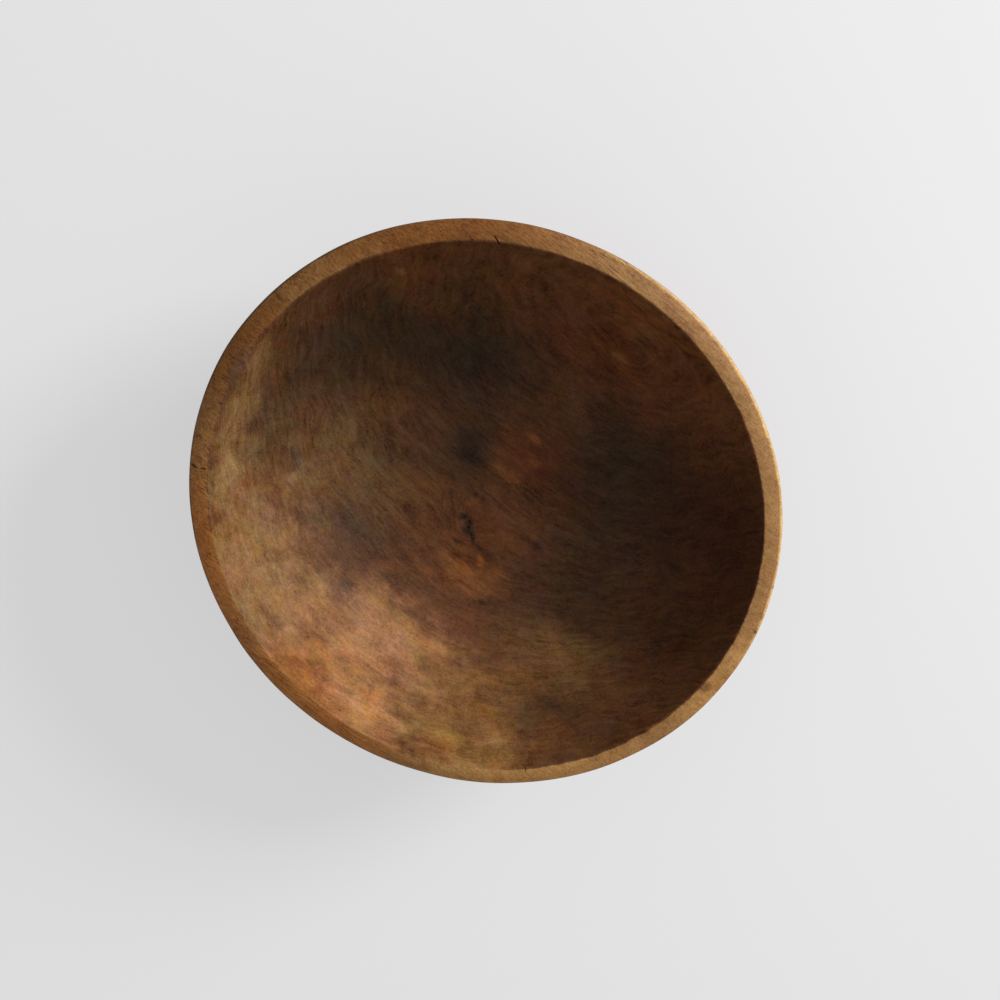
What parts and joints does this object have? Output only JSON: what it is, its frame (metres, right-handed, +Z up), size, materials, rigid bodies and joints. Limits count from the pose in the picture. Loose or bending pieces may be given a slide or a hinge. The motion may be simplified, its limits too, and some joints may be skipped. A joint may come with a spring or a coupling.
{
  "type": "bowl",
  "caption": "Large turned wooden dough bowl, dried slightly oval, with a crowned lip, a round-sided hollow and a flat foot.",
  "frame": {"origin": "middle of the foot, on the surface that the bowl stands on", "axes": "+X along the grain, which is the bowl's long way; +Y across the grain; +Z up out of the hollow"},
  "size_m": [0.408, 0.3806, 0.116],
  "materials": {
    "wood": "worn satin"
  },
  "bodies": {
    "root": {"bowl": "wood"}
  },
  "joints": []
}
